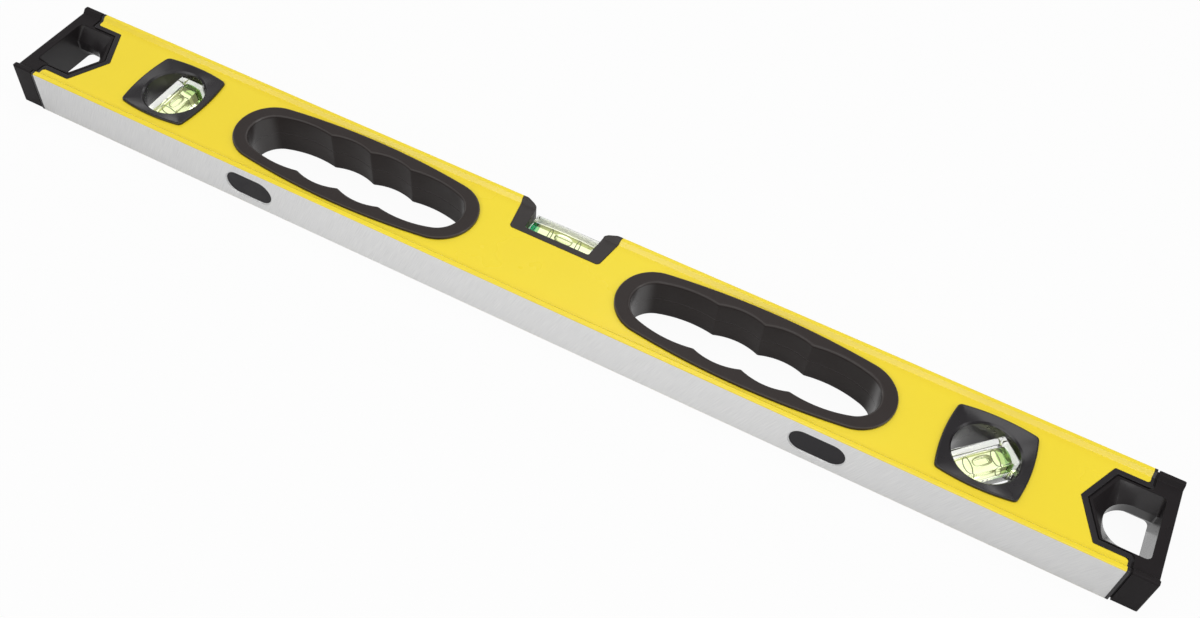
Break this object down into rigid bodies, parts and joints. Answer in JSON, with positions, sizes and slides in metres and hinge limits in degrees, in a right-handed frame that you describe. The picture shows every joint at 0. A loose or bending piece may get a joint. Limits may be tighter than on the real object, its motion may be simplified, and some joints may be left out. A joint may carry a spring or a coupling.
{
  "type": "magnetic spirit level",
  "caption": "Box-beam spirit level with milled magnetic base, finger grips, end bumpers and block vials for level, plumb and 45 degrees.",
  "frame": {"origin": "centre of the level's length and height, on the plane that its back broad face rests on", "axes": "+X along the level towards the 45 degree vial, +Y from the milled magnetic base to the top edge, +Z from the back to the front broad face"},
  "size_m": [0.6, 0.0568, 0.0248],
  "materials": {
    "yellow_paint": "gloss powder coat",
    "black_rubber": "matte",
    "black_plastic": "satin",
    "clear_acrylic": "clear polished",
    "green_spirit": "clear",
    "bubble_air": "clear",
    "ring_ink": "matte",
    "magnet_black": "matte ferrite",
    "keeper_steel": "plain"
  },
  "bodies": {
    "level": {"beam": "yellow_paint", "centre_vial_block": "clear_acrylic", "centre_vial_holder": "black_plastic", "centre_vial_plug": "clear_acrylic", "centre_vial_ring_high": "ring_ink", "centre_vial_ring_low": "ring_ink", "centre_vial_spirit": "green_spirit", "left_end_bumper": "black_rubber", "left_end_sleeve": "black_plastic", "left_grip_back": "black_rubber", "left_grip_front": "black_rubber", "left_magnet": "magnet_black", "left_magnet_keeper": "keeper_steel", "left_vial_block": "clear_acrylic", "left_vial_plug": "clear_acrylic", "left_vial_ring_high": "ring_ink", "left_vial_ring_low": "ring_ink", "left_vial_spirit": "green_spirit", "left_window_back": "black_plastic", "left_window_front": "black_plastic", "right_end_bumper": "black_rubber", "right_end_sleeve": "black_plastic", "right_grip_back": "black_rubber", "right_grip_front": "black_rubber", "right_magnet": "magnet_black", "right_magnet_keeper": "keeper_steel", "right_vial_block": "clear_acrylic", "right_vial_plug": "clear_acrylic", "right_vial_ring_high": "ring_ink", "right_vial_ring_low": "ring_ink", "right_vial_spirit": "green_spirit", "right_window_back": "black_plastic", "right_window_front": "black_plastic"},
    "left_bubble": {"left_vial_bubble": "bubble_air"},
    "centre_bubble": {"centre_vial_bubble": "bubble_air"},
    "right_bubble": {"right_vial_bubble": "bubble_air"}
  },
  "joints": [
    {"name": "left_bubble_slide", "type": "slide", "parent": "level", "child": "left_bubble", "axis": [0, 1, 0], "range_m": [-0.005, 0.005], "stiffness_N_per_m": 0.05},
    {"name": "centre_bubble_slide", "type": "slide", "parent": "level", "child": "centre_bubble", "axis": [1, 0, 0], "range_m": [-0.005, 0.005], "stiffness_N_per_m": 0.05},
    {"name": "right_bubble_slide", "type": "slide", "parent": "level", "child": "right_bubble", "axis": [0.7071, 0.7071, 0], "range_m": [-0.005, 0.005], "stiffness_N_per_m": 0.05}
  ]
}
